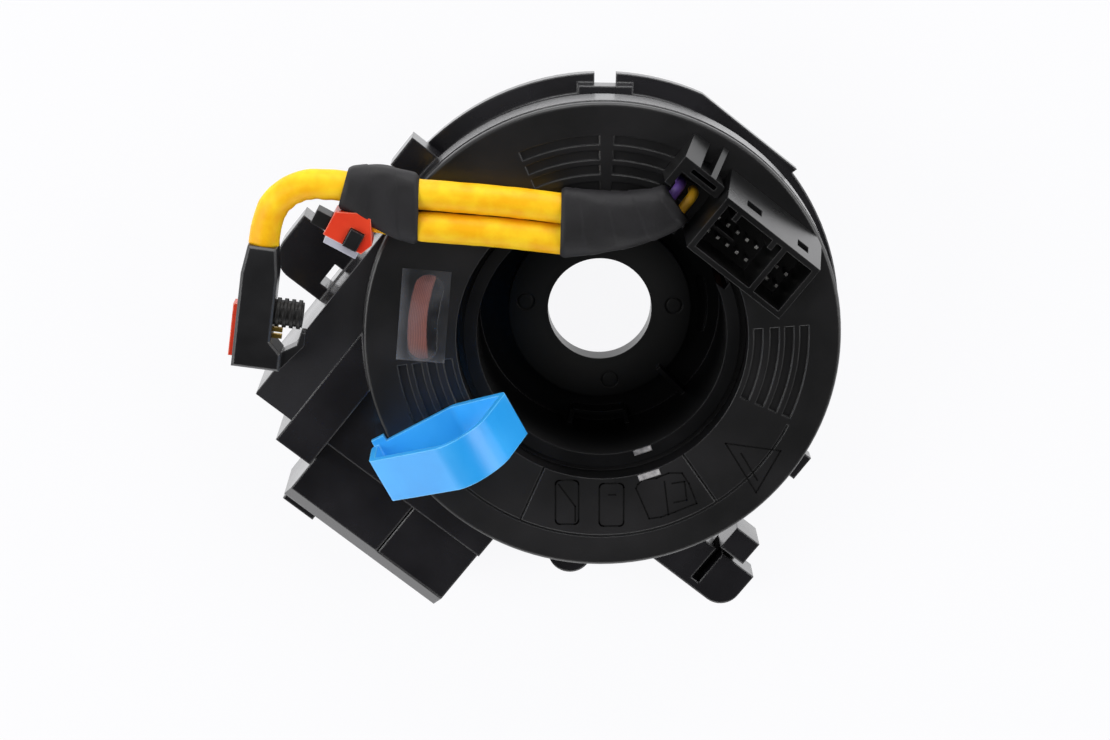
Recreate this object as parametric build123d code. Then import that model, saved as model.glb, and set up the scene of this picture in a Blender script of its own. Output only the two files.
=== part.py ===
from build123d import *
from math import atan2, cos, radians, sin, sqrt, tan
import os

# Steering clock spring: a stator case fixed to the column and a rotor that turns with the wheel.
#
# Millimetres. +Z is the steering axis, towards the wheel. The origin is on that axis, in the plane
# of the flat back that the unit rests on. The vehicle-side connector lies towards -Y, the two
# airbag leads leave the rotor towards -X, and the switch connector stands on the +Y side.

# ---- clearances -----------------------------------------------------------------------------
GAP = 0.3                    # between curved faces of pieces that only pass each other
JOURNAL_GAP = 0.08           # radial running clearance of the rotor in the back cover
LEAD_GAP = 0.12              # round a tube or wire in its bore

# ---- rotor: face, hub and bore -----------------------------------------------------------------
FACE_Z = 34.0                # front face of the rotor
FACE_R = 54.0
FACE_T = 2.2
FACE_EDGE = 0.8              # rounding of the rim
RIM_GAP = 0.4                # under the face, over the case rim
HUB_RING_R = 31.5            # outside of the ring round the dish
HUB_RING_DROP = 4.0          # ring below the face
HUB_RING_T = 2.0
RING_GROOVE = 1.5            # open groove between ring and face
HUB_R = 28.4                 # inside of the dish
HUB_WALL = 1.9
DISH_FLOOR_Z = 3.0           # floor of the deep trough
PLATEAU_R = 21.5
PLATEAU_Z = 6.0
PLATEAU_T = 1.8
BORE_R = 12.2
BORE_LIP = 1.6               # wall of the short tube round the bore
SNAP_LIP = 1.1               # hub lip that hooks under the back cover
SNAP_T = 1.0
RUN_UNDER = 0.2              # under the back cover's lip
CABLE_EXIT_Y = 25.6          # opening in the hub beside the switch connector
CABLE_EXIT_Z = 16.0
TROUGH_RIB_R = 25.2
TROUGH_RIB_T = 1.2
TROUGH_RIB_H = 5.0
TROUGH_RIB_SPAN = (-66.0, -38.0)
TROUGH_BAR_ANGLE = -7.0
FLOOR_SLOT_R = 24.6
FLOOR_SLOT_W = 1.8
FLOOR_SLOT_SPAN = (26.0, 54.0)
FLOOR_SLOT_DEPTH = 1.1
COVER_SKIRT = 1.8            # inner skirt of the face moulding
SEAT_T = 2.0                 # shelf that the hub ring sits on

# ---- rotor: marks and grooves in the face --------------------------------------------------------
CHANNEL_R = (35.3, 39.0, 42.3, 45.7)
CHANNEL_W = 2.1
CHANNEL_DEPTH = 0.6
CHANNEL_SPANS = ((15.0, 42.5), (96.0, 125.5), (129.5, 152.0), (226.0, 244.0))
PANEL_R = 46.9               # arc groove round the marked panels
PANEL_GROOVE = 0.5
PANEL_DEPTH = 0.4
PANEL_START = -120.0
PANEL_END = 13.0
PANEL_SPLITS = (-75.0, -17.1)
WINDOW_R = 40.7              # sight window over the cable
WINDOW_W = 6.6
WINDOW_START = 201.6
WINDOW_END = 221.0
LABEL_L = 21.3
LABEL_W = 11.0
LABEL_T = 0.25
LABEL_R = 40.6
LABEL_ANGLE = 210.5
LABEL_TURN = -56.5           # direction of the label's long side
DOT_R = 17.5                 # ringed marks on the plateau
DOT_ANGLES = (-43.5, 41.0, 212.5)
DOT_SIZE = 2.1
DOT_LINE = 0.45
DOT_DEPTH = 0.4

# ---- stator case ------------------------------------------------------------------------------
BAND_STEP = 1.6              # outer band under the rotor rim, beyond the wall
BAND_H = 8.4
BODY_R = 52.6                # recessed wall under the band
CASE_WALL = 2.3
FLANGE_STEP = 3.0            # low flange, beyond the wall
FLANGE_WIDE = 1.4            # extra width of the flange on the far side
FLANGE_WIDE_SPAN = (76.0, 200.0)
FLANGE_FLAT = 2.6            # straight edge on the +Y side, beyond the wall
FLANGE_Z = 9.0
FLANGE_T = 3.0
BACK_T = 2.5                 # back cover
BACK_LIP_T = 2.0             # raised lip that carries the rotor
BACK_LIP_W = 5.0
CLIP_ANGLE = 0.8
CLIP_W = 6.5
CLIP_OUT = 8.1               # beyond the wall
BOSS_ANGLE = -58.4           # round boss on the flange
BOSS_R = 5.2
BOSS_OUT = 5.6
CLIP_H = 5.0
NOTCH_ANGLE = 127.6
NOTCH_W = 4.9
NOTCH_DEPTH = 2.2
LATCH_W = 12.4
LATCH_T = 1.6
SIDE_BLOCK_X = -61.0         # small block on the -X side
SIDE_BLOCK_Y = 4.0
SIDE_BLOCK_W = 8.0
SIDE_BLOCK_Z = 16.0
SIDE_BLOCK_H = 7.0

# ---- side housing and vehicle connector -----------------------------------------------------
SIDE_TOP_Z = 31.0
SIDE_WALL = 2.0
SHELF_TOP_Z = 28.0           # lower part between drum and connector
SIDE_X = -53.3               # outer side of the first housing
SIDE_END_Y = -59.7
SIDE_SPLIT_X = -43.2         # seam between the cover plate and the second housing
SIDE2_END_Y = -65.6
SIDE2_X_END = -33.4
COVER_PLATE_T = 1.6
CONN_X0 = -32.8              # vehicle connector housing
CONN_X1 = 11.4
CONN_Y0 = -60.0
CONN_Y1 = -74.3
CONN_TOP_Z = 26.0
CONN_BASE_Z = 4.0
CONN_CHAMFER = 3.2
CONN_WALL = 1.8
CONN_RIB = 1.8
CONN_ROOF_T = 4.0            # over the cavities, where the contacts are held
CAP_X0 = -7.8                # separate cap on the housing's right-hand end
CAP_T = 1.8
CAP_SEAM = 0.4
FOOT_X0 = -31.0
FOOT_W = 8.8
FOOT_OUT = 4.6
FOOT_Z = 9.0
FOOT_T = 3.0
FOOT_GROOVE = 0.6
PIN_PITCH = 2.7
PIN_SIZE = 0.7
PIN_LENGTH = 9.0
VEHICLE_PIN_COUNT = 5        # in each row of each cavity
VEHICLE_ROW_GAP = 4.0

# ---- fixing ears -------------------------------------------------------------------------------
EAR_TOP_Z = 12.0
EAR_T = 9.0
EAR_R_X = 69.6               # end of the +X ear
EAR_R_Y0 = -39.1
EAR_R_Y1 = -27.8
EAR_L_X = -68.6              # end of the -X ear
EAR_L_Y0 = -38.0
EAR_L_Y1 = -24.0
EAR_ROUND = 5.2
EAR_L_ROUND = 6.0
EAR_WALL = 2.0
SLOT_W = 2.2                 # bracket slot through each ear
SLOT_R_IN = 10.6             # from the ear's tip
SLOT_R_L = 10.0
SLOT_R_DEEP = 6.0
SLOT_L_X = -54.8
SLOT_L_Y0 = -34.6
SLOT_L_L = 5.8
POST_IN = 8.4                # locating post beside the +X ear, from the ear's tip
POST_W = 6.8
POST_Y0 = -26.2
POST_Y1 = -19.9
POST_TOP_Z = 15.0
POST_WEB_Z = 6.0             # top of the web that ties the post to the ear

# ---- flat cable ------------------------------------------------------------------------------
COIL_W = 10.1
COIL_GAP = 0.4
COIL_TOP_DROP = 1.2          # below the underside of the rotor face

# ---- switch connector on the rotor -----------------------------------------------------------
SW_X0 = -2.0
SW_X1 = 24.0
SW_Y0 = 31.2
SW_Y1 = 45.2
SW_TOP_Z = 52.0
SW_FLARE = 3.3               # how far the outer wall spreads at its foot
SW_WALL = 1.3
SW_FLOOR = 2.0
SW_DIVIDER_X = 15.0
SW_RIM_INSET = 0.5
KEY_XS = (2.3, 12.2)
KEY_W = 1.2
KEY_DEPTH = 2.0
ROW_RIB_L = 7.5
ROW_RIB_T = 0.8
ROW_RIB_H = 8.5
SW_PIN_X = 1.3
SW_PIN_ROWS = (35.5, 39.1)
SW_PIN_COUNT = 5
HORN_PIN_X = 18.4
HORN_PIN_ROWS = (35.1, 38.5)
HORN_PIN_COUNT = 2
SW_PIN_LENGTH = 5.5
LATCH_WINDOWS = ((3.2, 7.2), (17.4, 20.4))
LATCH_WINDOW_DROP = 4.0
LATCH_WINDOW_H = 3.6

# ---- cable guide ------------------------------------------------------------------------------
GUIDE_X0 = -13.6
GUIDE_WALL = 1.6
GUIDE_Y0 = 38.4
GUIDE_Y1 = 45.6
GUIDE_TOP_Z = 44.6
GUIDE_BAR = 3.2
GUIDE_BAR_SLOT = 1.0
GUSSET_T = 4.2
GUSSET_THIN = 1.4
GUSSET_FOOT_R = 51.6         # where the gussets run out on the face

# ---- airbag leads ------------------------------------------------------------------------------
TUBE_D = 6.8
TUBE_Z = 38.7
TUBE_END_Z = 36.6            # where tube A enters its plug
TUBE_A_ROUTE = [(-20.6, 22.4, TUBE_Z), (-34.0, 14.5, TUBE_Z), (-48.9, 4.7, TUBE_Z),
                (-59.8, -2.7, TUBE_Z), (-68.4, -7.6, TUBE_Z), (-74.9, -12.5, TUBE_Z - 0.5),
                (-77.2, -19.3, TUBE_Z - 1.3), (-75.5, -25.3, TUBE_END_Z),
                (-73.3, -29.0, TUBE_END_Z)]
TUBE_B_ROUTE = [(-16.9, 16.6, TUBE_Z), (-30.2, 8.6, TUBE_Z), (-44.8, -1.2, TUBE_Z),
                (-51.6, -5.9, TUBE_Z), (-57.0, -10.4, TUBE_Z)]
BEND_SHARE = 0.45            # of the shorter run that a bend may use
SLEEVE1_START = (-51.2, -1.1)
SLEEVE1_MID = (-58.1, -3.6)
SLEEVE1_END = (-67.4, -7.1)
SLEEVE1_WIDTHS = (14.6, 11.5, 8.0)
SLEEVE1_HEIGHTS = (8.6, 8.3, 7.9)
SLEEVE2_START = (-24.9, 16.2)
SLEEVE2_MID = (-13.2, 26.6)
SLEEVE2_END = (-7.6, 35.6)
SLEEVE2_WIDTHS = (15.9, 12.6, 9.3)
SLEEVE2_HEIGHTS = (9.0, 9.0, 9.0)
WIRE_D = 2.3
WIRE_XS = (-9.4, -5.8)
WIRE_SEAT = 1.5
WIRE_REACH = 3.8
WIRE_BEND = 1.5

# ---- plug 1: black squib plug on tube A --------------------------------------------------------
PLUG1_L = 28.0
PLUG1_NECK_W = 6.4
PLUG1_W = 8.2
PLUG1_T = 8.0
PLUG1_FOOT_L = 4.1
PLUG1_FOOT_OUT = 2.6
NOSE_AT = 15.2
NOSE_D = 6.6
NOSE_L = 6.4
NOSE_RIB = 0.45
NOSE_RIBS = 4
LOCK1_AT = 20.0
LOCK1_L = 12.0
LOCK1_OUT = 1.0
LOCK1_DEEP = 2.2
LOCK1_H = 4.4
CONTACT_AT = (19.2, 20.7)
CONTACT_L = 2.2
CONTACT_W = 1.0
ARM_T = 1.1

# ---- plug 2: orange squib plug on tube B --------------------------------------------------------
PLUG2_TURN = -30.0           # of its body from the lead's direction
PLUG2_NECK_W = 7.2
PLUG2_BACK = -0.6
PLUG2_L = 8.8
PLUG2_NEAR = 0.3
PLUG2_FAR = 6.0
PLUG2_T = 7.2
PLUG2_NOSE_L = 3.6
PLUG2_NOSE_IN = 1.6
PLUG2_PLATE_T = 1.6
PLUG2_LOCK_L = 3.2
PLUG2_LOCK_W = 4.2
PLUG2_LOCK_DEEP = 1.6
PLUG2_LOCK_OUT = 0.9

# ---- transit lock: a band bent to a pull loop -------------------------------------------------
LOOP_X = -25.3
LOOP_Y = -52.4
LOOP_ANGLE = 67.0
LOOP_W = 10.6
LOOP_T = 1.5
LOOP_FOOT_L = 21.3           # straight run along the face
LOOP_SHOULDER_H = 11.3
LOOP_PEAK = (20.5, 31.5)     # corners along the loop and up, before rounding
LOOP_CROWN = (29.0, 28.5)
LOOP_TOE = (35.2, 12.5)
LOOP_RADII = (2.2, 2.2, 7.0, 9.0, 2.6, 4.0)
PEG_AT = 11.5
PEG_D = 3.4
TAB_W = 1.5
TAB_AT = 0.8
TAB_L = 3.1

# ---- sizes that follow ------------------------------------------------------------------------
FACE_UNDER_Z = FACE_Z - FACE_T
FACE_HOLE_R = HUB_RING_R + RING_GROOVE
RING_TOP_Z = FACE_Z - HUB_RING_DROP
SEAT_Z = RING_TOP_Z - HUB_RING_T
HUB_OUT_R = HUB_R + HUB_WALL
CASE_TOP_Z = FACE_UNDER_Z - RIM_GAP
CASE_IN_R = BODY_R - CASE_WALL
BACK_LIP_TOP_Z = BACK_T + BACK_LIP_T
BAND_R = BODY_R + BAND_STEP
FLANGE_R = BODY_R + FLANGE_STEP
COIL_R_IN = CASE_IN_R - COIL_GAP - COIL_W
SLOT_R_X = EAR_R_X - SLOT_R_IN
POST_X = EAR_R_X - POST_IN


def polar(radius, angle):
    """Point on a circle about the axis."""
    return (radius * cos(radians(angle)), radius * sin(radians(angle)))


def tube(outer, inner, z0, z1):
    """Straight ring about the axis."""
    return Pos(0, 0, z0) * extrude(Circle(outer) - Circle(inner), z1 - z0)


def disc(radius, z0, z1):
    """Solid disc about the axis."""
    return Pos(0, 0, z0) * extrude(Circle(radius), z1 - z0)


def block(x0, x1, y0, y1, z0, z1):
    """Box between two corners."""
    size = (abs(x1 - x0), abs(y1 - y0), abs(z1 - z0))
    return Pos((x0 + x1) / 2, (y0 + y1) / 2, (z0 + z1) / 2) * Box(*size)


def prism(points, z0, z1):
    """Straight prism on a flat outline."""
    return Pos(0, 0, z0) * extrude(make_face(Polyline(*points, close=True)), z1 - z0)


def arc_slot(radius, width, start, end, z0, z1):
    """Round-ended slot that follows a circle about the axis."""
    centre_line = CenterArc((0, 0), radius, start, end - start)
    return Pos(0, 0, z0) * extrude(SlotArc(centre_line, width), z1 - z0)


def arc_groove(radius, width, start, end, z0, z1):
    """Square-ended groove that follows a circle about the axis."""
    outer = CenterArc((0, 0), radius + width / 2, start, end - start)
    inner = CenterArc((0, 0), radius - width / 2, start, end - start)
    sides = Line(outer @ 0, inner @ 0) + Line(outer @ 1, inner @ 1)
    return Pos(0, 0, z0) * extrude(make_face(outer + inner + sides), z1 - z0)


def radial_bar(angle, r0, r1, width, z0, z1):
    """Bar that points away from the axis."""
    return Rot(0, 0, angle) * block(r0, r1, -width / 2, width / 2, z0, z1)


def bend_radii(points):
    """Bend radius at each inner corner of a route."""
    radii = []
    for before, corner, after in zip(points, points[1:], points[2:]):
        run_in = Vector(*corner) - Vector(*before)
        run_out = Vector(*after) - Vector(*corner)
        half_turn = radians(run_in.get_angle(run_out)) / 2
        shorter = min(run_in.length, run_out.length)
        radii.append(BEND_SHARE * shorter / tan(half_turn))
    return radii


def lead(points, diameter, radii=None):
    """Round tube along straight runs joined by tangent arcs."""
    path = FilletPolyline(*points, radius=radii or bend_radii(points))
    section = Plane(origin=path @ 0, z_dir=path % 0) * Circle(diameter / 2)
    return sweep(section, path=path)


# ---- rotor --------------------------------------------------------------------------------------
def make_rotor_cover():
    """Face plate with its inner skirt, the shelf for the hub ring, the sight window and grooves."""
    cover = tube(FACE_R, FACE_HOLE_R, FACE_UNDER_Z, FACE_Z)
    rim = cover.edges().filter_by(GeomType.CIRCLE).sort_by(lambda e: e.radius + e.center().Z)[-1]
    cover = fillet(rim, FACE_EDGE)
    skirt_r = FACE_HOLE_R + COVER_SKIRT
    cover += tube(skirt_r, FACE_HOLE_R, SEAT_Z - SEAT_T, FACE_UNDER_Z)
    cover += tube(skirt_r, HUB_OUT_R + GAP, SEAT_Z - SEAT_T, SEAT_Z)
    for radius in CHANNEL_R:
        for start, end in CHANNEL_SPANS:
            cover -= arc_groove(radius, CHANNEL_W, start, end, FACE_Z - CHANNEL_DEPTH, FACE_Z)
    groove_z = FACE_Z - PANEL_DEPTH
    cover -= arc_groove(PANEL_R, PANEL_GROOVE, PANEL_START, PANEL_END, groove_z, FACE_Z)
    for angle in PANEL_SPLITS:
        cover -= radial_bar(angle, FACE_HOLE_R, PANEL_R, PANEL_GROOVE, groove_z, FACE_Z)
    cover -= arc_slot(WINDOW_R, WINDOW_W, WINDOW_START, WINDOW_END, FACE_UNDER_Z, FACE_Z)
    peg_hole = Pos(*peg_centre(), FACE_UNDER_Z) * extrude(Circle(PEG_D / 2 + GAP), FACE_T)
    return cover - peg_hole


def make_rotor_hub():
    """Deep dish with its ring, the trough, the raised plateau and the open steering bore."""
    snap_top = BACK_T - RUN_UNDER
    outline = [
        (HUB_R, RING_TOP_Z), (HUB_RING_R, RING_TOP_Z), (HUB_RING_R, SEAT_Z), (HUB_OUT_R, SEAT_Z),
        (HUB_OUT_R, snap_top), (HUB_OUT_R + SNAP_LIP, snap_top),
        (HUB_OUT_R + SNAP_LIP, snap_top - SNAP_T), (PLATEAU_R - PLATEAU_T, snap_top - SNAP_T),
        (PLATEAU_R - PLATEAU_T, PLATEAU_Z - PLATEAU_T), (BORE_R + BORE_LIP, PLATEAU_Z - PLATEAU_T),
        (BORE_R + BORE_LIP, 0), (BORE_R, 0), (BORE_R, PLATEAU_Z),
        (PLATEAU_R, PLATEAU_Z), (PLATEAU_R, DISH_FLOOR_Z), (HUB_R, DISH_FLOOR_Z),
    ]
    section = Plane.XZ * make_face(Polyline(*outline, close=True))
    hub = revolve(section, axis=Axis.Z)
    for angle in DOT_ANGLES:
        x, y = polar(DOT_R, angle)
        ring = Circle(DOT_SIZE) - Circle(DOT_SIZE - DOT_LINE)
        hub -= Pos(x, y, PLATEAU_Z - DOT_DEPTH) * extrude(ring, DOT_DEPTH)
    hub -= block(SW_X0, SW_DIVIDER_X, CABLE_EXIT_Y, SW_Y0, CABLE_EXIT_Z, FACE_Z)
    rib_top = DISH_FLOOR_Z + TROUGH_RIB_H
    wall_r = HUB_R + HUB_WALL / 2
    start, end = TROUGH_RIB_SPAN
    hub += arc_groove(TROUGH_RIB_R, TROUGH_RIB_T, start, end, DISH_FLOOR_Z, rib_top)
    for angle in TROUGH_RIB_SPAN:
        hub += radial_bar(angle, TROUGH_RIB_R, wall_r, TROUGH_RIB_T, DISH_FLOOR_Z, rib_top)
    hub += radial_bar(TROUGH_BAR_ANGLE, PLATEAU_R - PLATEAU_T, wall_r, TROUGH_RIB_T, DISH_FLOOR_Z, rib_top)
    slot_z = DISH_FLOOR_Z - FLOOR_SLOT_DEPTH
    return hub - arc_slot(FLOOR_SLOT_R, FLOOR_SLOT_W, *FLOOR_SLOT_SPAN, slot_z, DISH_FLOOR_Z)


def make_window_label():
    """Clear sticker over the sight window."""
    x, y = polar(LABEL_R, LABEL_ANGLE)
    return Pos(x, y, FACE_Z) * Rot(0, 0, LABEL_TURN) * extrude(Rectangle(LABEL_L, LABEL_W), LABEL_T)


def make_switch_connector():
    """Two-cavity shroud with a flared outer wall, keys, a row rib and latch windows."""
    side = Polyline((SW_Y0, FACE_Z), (SW_Y1 + SW_FLARE, FACE_Z), (SW_Y1, SW_TOP_Z), (SW_Y0, SW_TOP_Z),
                    close=True)
    shroud = Pos(SW_X0, 0, 0) * extrude(Plane.YZ * make_face(side), SW_X1 - SW_X0)
    shroud &= disc(FACE_R - SW_RIM_INSET, FACE_Z, SW_TOP_Z)
    floor_z = FACE_Z + SW_FLOOR
    y0 = SW_Y0 + SW_WALL
    y1 = SW_Y1 - SW_WALL
    shroud -= block(SW_X0 + SW_WALL, SW_DIVIDER_X - SW_WALL / 2, y0, y1, floor_z, SW_TOP_Z)
    shroud -= block(SW_DIVIDER_X + SW_WALL / 2, SW_X1 - SW_WALL, y0, y1, floor_z, SW_TOP_Z)
    for x in KEY_XS:
        shroud += block(x - KEY_W / 2, x + KEY_W / 2, y1 - KEY_DEPTH, y1, floor_z, SW_TOP_Z)
    rib_y = sum(SW_PIN_ROWS) / len(SW_PIN_ROWS)
    rib_x = SW_X0 + SW_WALL
    shroud += block(rib_x, rib_x + ROW_RIB_L, rib_y - ROW_RIB_T / 2, rib_y + ROW_RIB_T / 2,
                    floor_z, floor_z + ROW_RIB_H)
    window_z = SW_TOP_Z - LATCH_WINDOW_DROP
    for x0, x1 in LATCH_WINDOWS:
        shroud -= block(x0, x1, y1, SW_Y1 + SW_FLARE, window_z - LATCH_WINDOW_H, window_z)
    return shroud


def pin_rows(x_first, rows, count, z0, length):
    """Square contact pins in straight rows."""
    pins = []
    for y in rows:
        for index in range(count):
            x = x_first + index * PIN_PITCH
            pins.append(Pos(x, y, z0 + length / 2) * Box(PIN_SIZE, PIN_SIZE, length))
    return pins


def make_cable_guide():
    """Bracket that turns the leads down into the rotor, with two gussets to the rim."""
    wall_x = GUIDE_X0 + GUIDE_WALL
    bar_y = GUIDE_Y1 - GUIDE_BAR
    end_x = SW_X0 - GAP
    guide = block(GUIDE_X0, wall_x, GUIDE_Y0, GUIDE_Y1, FACE_Z, GUIDE_TOP_Z)
    bar = block(GUIDE_X0, end_x, bar_y, GUIDE_Y1, FACE_Z, GUIDE_TOP_Z)
    guide += fillet(bar.edges().filter_by(Axis.Z).group_by(Axis.X)[-1], GUIDE_WALL * BEND_SHARE)
    slot_y = (bar_y + GUIDE_Y1) / 2
    guide -= block(wall_x + GUIDE_WALL, end_x - GUIDE_WALL, slot_y - GUIDE_BAR_SLOT / 2,
                   slot_y + GUIDE_BAR_SLOT / 2, FACE_Z + GUIDE_WALL, GUIDE_TOP_Z)
    for x, width in ((GUIDE_X0, GUSSET_T), (end_x - GUSSET_T, GUSSET_THIN)):
        foot_y = sqrt(GUSSET_FOOT_R ** 2 - x ** 2)
        side = Polyline((GUIDE_Y1, FACE_Z), (foot_y, FACE_Z), (GUIDE_Y1, GUIDE_TOP_Z), close=True)
        guide += Pos(x, 0, 0) * extrude(Plane.YZ * make_face(side), width)
    return guide


# ---- airbag leads --------------------------------------------------------------------------------
def oval(centre, heading, width, height, z):
    """Upright round-ended section across a lead."""
    plane = Plane(origin=(centre[0], centre[1], z), x_dir=(-sin(heading), cos(heading), 0),
                  z_dir=(cos(heading), sin(heading), 0))
    return plane * RectangleRounded(width, height, height / 2 - GAP / 2)


def wrap(start, middle, end, widths, heights):
    """Tape sleeve over the leads, from a wide end to a narrow one."""
    first = atan2(middle[1] - start[1], middle[0] - start[0])
    last = atan2(end[1] - middle[1], end[0] - middle[0])
    headings = (first, (first + last) / 2, last)
    sections = []
    for centre, heading, width, height in zip((start, middle, end), headings, widths, heights):
        sections.append(oval(centre, heading, width, height, TUBE_Z))
    return loft(sections)


def make_sleeves(bores, plug_notch):
    """Both tape sleeves, bored for the tubes and wires, the first one notched round plug 2."""
    sleeves = []
    for sizes in ((SLEEVE1_START, SLEEVE1_MID, SLEEVE1_END, SLEEVE1_WIDTHS, SLEEVE1_HEIGHTS),
                  (SLEEVE2_START, SLEEVE2_MID, SLEEVE2_END, SLEEVE2_WIDTHS, SLEEVE2_HEIGHTS)):
        sleeve = wrap(*sizes)
        for bore in bores:
            sleeve -= bore
        sleeves.append(sleeve - plug_notch)
    return sleeves


def make_wire(x, diameter):
    """Signal wire, or its bore, from inside the sleeve's end down into the guide."""
    start_y = SLEEVE2_END[1] - WIRE_SEAT
    corner_y = SLEEVE2_END[1] + WIRE_REACH
    route = [(x, start_y, TUBE_Z), (x, corner_y, TUBE_Z), (x, corner_y, FACE_Z)]
    return lead(route, diameter, [WIRE_BEND])


def plug_frame(route, thickness):
    """Place of a plug at the end of its lead: X runs on from the lead, Z up from the plug's base."""
    before, end = route[-2:]
    heading = (end[0] - before[0], end[1] - before[1], 0)
    return Plane(origin=(end[0], end[1], end[2] - thickness / 2), x_dir=heading, z_dir=(0, 0, 1))


def make_plug_1():
    """Black plug with a side nose: body, nose, contacts and slide lock."""
    frame = plug_frame(TUBE_A_ROUTE, PLUG1_T)
    half = PLUG1_W / 2
    neck = PLUG1_NECK_W / 2
    foot_x = PLUG1_L - PLUG1_FOOT_L
    outline = Polyline((0, -neck), (PLUG1_NECK_W, -half), (PLUG1_L, -half),
                       (PLUG1_L, half + PLUG1_FOOT_OUT), (foot_x, half + PLUG1_FOOT_OUT),
                       (foot_x - PLUG1_FOOT_OUT, half), (PLUG1_NECK_W, half), (0, neck), close=True)
    body = extrude(make_face(outline), PLUG1_T)
    body = chamfer(body.edges().group_by(Axis.Z)[-1], ARM_T / 2)
    lock_x0 = LOCK1_AT - LOCK1_L / 2
    lock_z0 = (PLUG1_T - LOCK1_H) / 2
    lock_y = -half - LOCK1_OUT
    lock = block(lock_x0, lock_x0 + LOCK1_L, lock_y, -half + LOCK1_DEEP, lock_z0, lock_z0 + LOCK1_H)
    body -= block(lock_x0 - LEAD_GAP, lock_x0 + LOCK1_L + LEAD_GAP, lock_y, -half + LOCK1_DEEP,
                  lock_z0 - LEAD_GAP, lock_z0 + LOCK1_H + LEAD_GAP)
    axis_z = PLUG1_T / 2
    nose = Pos(NOSE_AT, half, axis_z) * Rot(-90, 0, 0) * nose_solid()
    arm_y = half + NOSE_L
    arm = Polyline((foot_x, half + PLUG1_FOOT_OUT), (PLUG1_L, half + PLUG1_FOOT_OUT),
                   (NOSE_AT + NOSE_D, arm_y + ARM_T), (NOSE_AT + NOSE_D / 2 + GAP, arm_y + ARM_T),
                   (NOSE_AT + NOSE_D / 2 + GAP, arm_y), (NOSE_AT + NOSE_D, arm_y - ARM_T / 2), close=True)
    body += Pos(0, 0, axis_z - LOCK1_H / 2) * extrude(make_face(arm), LOCK1_H)
    contacts = []
    for x in CONTACT_AT:
        contacts.append(block(x - CONTACT_W / 2, x + CONTACT_W / 2, half, half + CONTACT_L,
                              axis_z - CONTACT_W / 2, axis_z + CONTACT_W / 2))
    pieces = {"plug_1_body": body, "plug_1_lock": lock, "plug_1_nose": nose,
              "plug_1_contacts": Compound(contacts)}
    return {name: frame.location * piece for name, piece in pieces.items()}


def nose_solid():
    """Ribbed mating nose, standing on its root."""
    nose = Cylinder(NOSE_D / 2 - NOSE_RIB, NOSE_L, align=(Align.CENTER, Align.CENTER, Align.MIN))
    pitch = NOSE_L / NOSE_RIBS
    for index in range(NOSE_RIBS):
        rib = Cylinder(NOSE_D / 2, pitch / 2, align=(Align.CENTER, Align.CENTER, Align.MIN))
        nose += Pos(0, 0, index * pitch + pitch / 4) * rib
    return nose


def plug_2_outline():
    """Flat outline of the plug's body: a neck square to its lead, then the body set across it."""
    turn = Rot(0, 0, PLUG2_TURN)
    neck = PLUG2_NECK_W / 2
    corners = [turn * Pos(u, v) for u, v in ((PLUG2_L, PLUG2_NEAR), (PLUG2_L, PLUG2_FAR),
                                             (PLUG2_BACK, PLUG2_FAR))]
    points = [(0, neck), (0, -neck)] + [(c.position.X, c.position.Y) for c in corners]
    return make_face(Polyline(*points, close=True))


def plug_2_notch():
    """Room for the plug in the tape sleeve that it leaves."""
    room = offset(plug_2_outline(), GAP, kind=Kind.INTERSECTION)
    height = max(SLEEVE1_HEIGHTS)
    return plug_frame(TUBE_B_ROUTE, height).location * extrude(room, height)


def make_plug_2():
    """Orange plug set across its lead, with a black nose, a pale side plate and a slide lock."""
    frame = plug_frame(TUBE_B_ROUTE, PLUG2_T)
    turn = Rot(0, 0, PLUG2_TURN)
    body = extrude(plug_2_outline(), PLUG2_T)
    edge = PLUG2_PLATE_T / 2
    nose = turn * block(PLUG2_L, PLUG2_L + PLUG2_NOSE_L, PLUG2_NEAR + PLUG2_NOSE_IN, PLUG2_FAR - edge,
                        edge, PLUG2_T - edge)
    plate = turn * block(0, PLUG2_L - edge, PLUG2_FAR, PLUG2_FAR + PLUG2_PLATE_T, 0, PLUG2_T)
    lock_z = PLUG2_T - PLUG2_LOCK_DEEP
    lock_y = PLUG2_FAR - PLUG2_LOCK_W
    lock = turn * block(edge, edge + PLUG2_LOCK_L, lock_y, PLUG2_FAR, lock_z, PLUG2_T + PLUG2_LOCK_OUT)
    body -= turn * block(edge - LEAD_GAP, edge + PLUG2_LOCK_L + LEAD_GAP, lock_y - LEAD_GAP,
                         PLUG2_FAR, lock_z, PLUG2_T)
    pieces = {"plug_2_body": body, "plug_2_nose": nose, "plug_2_plate": plate, "plug_2_lock": lock}
    return {name: frame.location * piece for name, piece in pieces.items()}


# ---- transit lock ---------------------------------------------------------------------------------
def loop_frame():
    """Plane of the loop's side view: X along the loop, Y up."""
    turn = radians(LOOP_ANGLE)
    return Plane(origin=(LOOP_X, LOOP_Y, FACE_Z), x_dir=(cos(turn), sin(turn), 0),
                 z_dir=(sin(turn), -cos(turn), 0))


def peg_centre():
    """Place of the lock's peg in the rotor face."""
    return tuple(loop_frame().from_local_coords((PEG_AT, 0, LOOP_W / 2)))[:2]


def make_transit_lock():
    """Band bent to a pull loop, with a peg into the rotor face and a small thumb tab."""
    corners = ((0, 0), (0, LOOP_SHOULDER_H), LOOP_PEAK, LOOP_CROWN, LOOP_TOE, (LOOP_FOOT_L, 0))
    outer = make_face(FilletPolyline(*corners, radius=LOOP_RADII, close=True))
    ring = outer - offset(outer, -LOOP_T, kind=Kind.INTERSECTION)
    frame = loop_frame()
    band = extrude(frame * ring, LOOP_W)
    band += frame.location * block(TAB_AT, TAB_AT + TAB_L, 0, LOOP_T, -TAB_W, 0)
    x, y = peg_centre()
    return band + Pos(x, y, FACE_UNDER_Z) * extrude(Circle(PEG_D / 2), FACE_T)


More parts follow.
